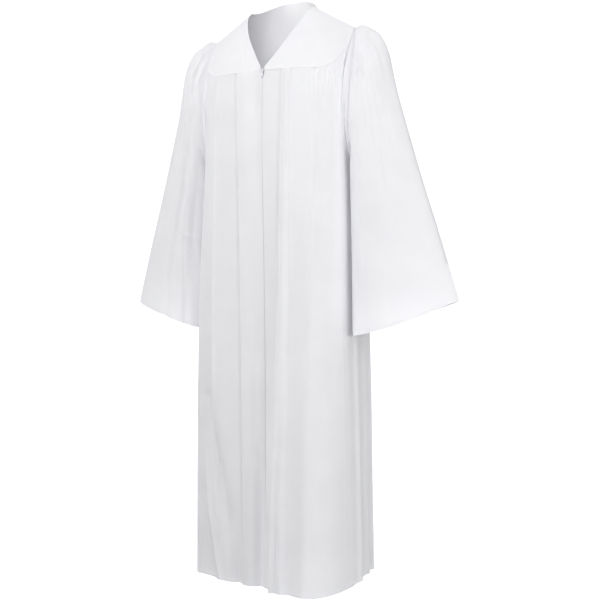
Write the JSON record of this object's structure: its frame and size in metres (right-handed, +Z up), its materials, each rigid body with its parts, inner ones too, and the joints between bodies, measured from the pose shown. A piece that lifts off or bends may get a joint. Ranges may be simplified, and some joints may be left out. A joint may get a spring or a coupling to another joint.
{
  "type": "choir robe",
  "caption": "Full-length choir robe in its worn hollow form, with a fluted zip front, gathered yoke, V neck and wide bell sleeves.",
  "frame": {"origin": "midway between the two sides of the neck, at the height where the shoulders hold the robe", "axes": "+Z up along the wearer, -Y towards the front with the zip, +X to the wearer's left"},
  "size_m": [0.781, 0.3074, 1.3059],
  "materials": {
    "cloth": "matte plain-weave polyester, pressed",
    "zip_tape": "woven herringbone tape",
    "zip_teeth": "nylon coil",
    "zip_metal": "white enamelled die casting"
  },
  "bodies": {
    "robe": {"yoke_front_right": "cloth", "yoke_front_left": "cloth", "yoke_back": "cloth", "front_right": "cloth", "front_left": "cloth", "back": "cloth", "sleeve_right": "cloth", "sleeve_left": "cloth", "zip_tape_right": "zip_tape", "zip_tape_left": "zip_tape", "zip_chain": "zip_teeth", "zip_slider": "zip_metal"},
    "pull_tab": {"zip_pull": "zip_metal"}
  },
  "joints": [
    {"name": "pull_tab_hinge", "type": "hinge", "parent": "robe", "child": "pull_tab", "pos_m": [0, -0.12165, -0.1506], "axis": [-1, 0, 0], "range_deg": [0, 160]}
  ]
}
